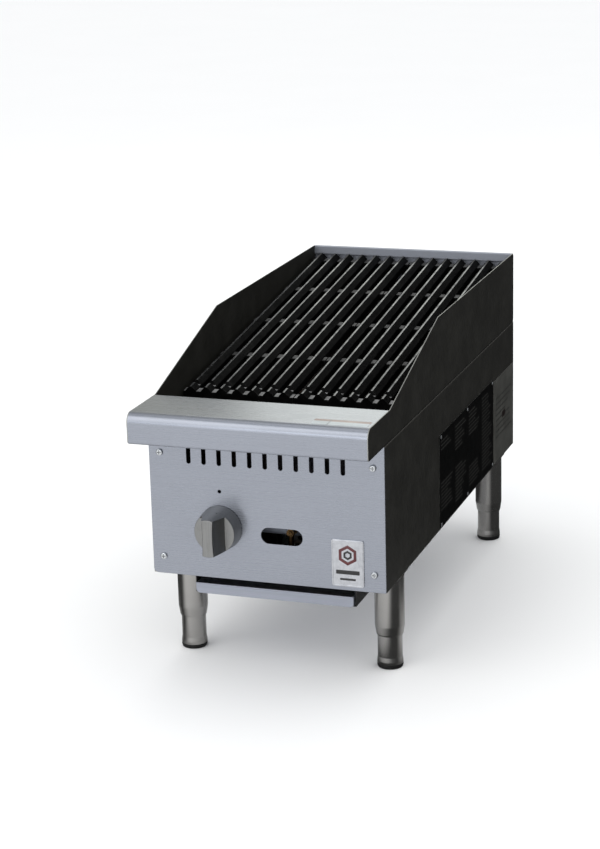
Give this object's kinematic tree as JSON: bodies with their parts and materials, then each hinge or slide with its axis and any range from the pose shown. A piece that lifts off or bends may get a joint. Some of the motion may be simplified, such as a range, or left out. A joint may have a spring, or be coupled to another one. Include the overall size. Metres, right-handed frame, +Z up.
{
  "type": "countertop gas charbroiler",
  "caption": "Countertop gas charbroiler with sloped lift-off cast-iron grates, burner knob, splash guards, pull-out drip tray and adjustable feet.",
  "frame": {"origin": "middle of the footprint's bounding box, on the counter under the feet", "axes": "+X to the right of a cook standing in front, +Y from the front ledge to the back splash, +Z up"},
  "size_m": [0.3066, 0.756, 0.4145],
  "materials": {
    "stainless_sheet": "brushed stainless steel",
    "dark_side_sheet": "dark charcoal satin coated sheet",
    "black_sheet": "black enamelled sheet",
    "firebox_steel": "heat-stained aluminised steel",
    "grate_iron": "seasoned cast iron, ridges worn bright",
    "burner_iron": "raw cast iron",
    "knob_metal": "satin cast metal",
    "bright_steel": "bright zinc plate",
    "leg_steel": "satin turned stainless steel",
    "leg_plate_steel": "zinc-plated steel",
    "pad_rubber": "black moulded rubber",
    "tray_steel": "brushed stainless steel",
    "badge_metal": "polished plate with a plain embossed border",
    "data_plate_black": "black anodised plate, no lettering",
    "label_plate_grey": "dark grey plate, no lettering",
    "black_pipe": "grey painted steel pipe",
    "valve_brass": "turned brass",
    "tube_aluminium": "drawn aluminium tube"
  },
  "bodies": {
    "body": {"back_splash": "stainless_sheet", "badge_plate": "badge_metal", "base_pan": "black_sheet", "burner": "burner_iron", "burner_rests": "firebox_steel", "data_plate": "data_plate_black", "data_plate_screws": "bright_steel", "feed_pipe": "black_pipe", "front_ledge": "stainless_sheet", "front_panel": "stainless_sheet", "gas_tube": "tube_aluminium", "gas_valve": "valve_brass", "grate_rest_front": "firebox_steel", "grate_rest_rear": "firebox_steel", "grease_chute": "black_sheet", "heat_shield_front": "firebox_steel", "heat_shield_left": "firebox_steel", "heat_shield_rear": "firebox_steel", "heat_shield_right": "firebox_steel", "label_plate": "label_plate_grey", "leg_plates": "leg_plate_steel", "leg_tube_front_left": "leg_steel", "leg_tube_front_right": "leg_steel", "leg_tube_rear_left": "leg_steel", "leg_tube_rear_right": "leg_steel", "main_orifice": "valve_brass", "manifold_cap": "black_pipe", "manifold_elbow": "black_pipe", "manifold_pipe": "black_pipe", "orifice_nut": "bright_steel", "panel_screws": "bright_steel", "pilot_burner": "leg_plate_steel", "pilot_tube": "tube_aluminium", "pilot_valve": "valve_brass", "pipe_brackets": "leg_plate_steel", "radiant": "burner_iron", "radiant_rails": "firebox_steel", "rear_panel": "stainless_sheet", "side_panel_left": "dark_side_sheet", "side_panel_right": "dark_side_sheet", "splash_left": "dark_side_sheet", "splash_right": "dark_side_sheet", "tray_runner_left": "black_sheet", "tray_runner_right": "black_sheet", "venturi": "burner_iron"},
    "knob": {"knob": "knob_metal", "valve_stem": "bright_steel"},
    "grate_left": {"grate_left": "grate_iron"},
    "grate_right": {"grate_right": "grate_iron"},
    "drip_tray": {"drip_tray": "tray_steel"},
    "air_shutter": {"air_shutter": "leg_plate_steel"},
    "pilot_screw": {"pilot_screw": "valve_brass"},
    "foot_front_left": {"leg_foot_front_left": "leg_steel", "foot_pad_front_left": "pad_rubber"},
    "foot_front_right": {"leg_foot_front_right": "leg_steel", "foot_pad_front_right": "pad_rubber"},
    "foot_rear_left": {"leg_foot_rear_left": "leg_steel", "foot_pad_rear_left": "pad_rubber"},
    "foot_rear_right": {"leg_foot_rear_right": "leg_steel", "foot_pad_rear_right": "pad_rubber"}
  },
  "joints": [
    {"name": "knob_turn", "type": "hinge", "parent": "body", "child": "knob", "pos_m": [-0.0606, -0.314, 0.193], "axis": [0, -1, 0], "range_deg": [0, 90]},
    {"name": "tray_slide", "type": "slide", "parent": "body", "child": "drip_tray", "axis": [0, -1, 0], "range_m": [0, 0.45]},
    {"name": "grate_left_lift", "type": "slide", "parent": "body", "child": "grate_left", "axis": [0, 0, 1], "range_m": [0, 0.12]},
    {"name": "grate_right_lift", "type": "slide", "parent": "body", "child": "grate_right", "axis": [0, 0, 1], "range_m": [0, 0.12]},
    {"name": "air_shutter_turn", "type": "hinge", "parent": "body", "child": "air_shutter", "pos_m": [0.012, -0.2373, 0.15], "axis": [0, 1, 0], "range_deg": [0, 85]},
    {"name": "pilot_screw_turn", "type": "hinge", "parent": "body", "child": "pilot_screw", "pos_m": [0.024, -0.294, 0.187], "axis": [0, -1, 0], "range_deg": [-180, 180]},
    {"name": "foot_front_left_screw", "type": "slide", "parent": "body", "child": "foot_front_left", "axis": [0, 0, -1], "range_m": [0, 0.025]},
    {"name": "foot_front_right_screw", "type": "slide", "parent": "body", "child": "foot_front_right", "axis": [0, 0, -1], "range_m": [0, 0.025]},
    {"name": "foot_rear_left_screw", "type": "slide", "parent": "body", "child": "foot_rear_left", "axis": [0, 0, -1], "range_m": [0, 0.025]},
    {"name": "foot_rear_right_screw", "type": "slide", "parent": "body", "child": "foot_rear_right", "axis": [0, 0, -1], "range_m": [0, 0.025]}
  ]
}
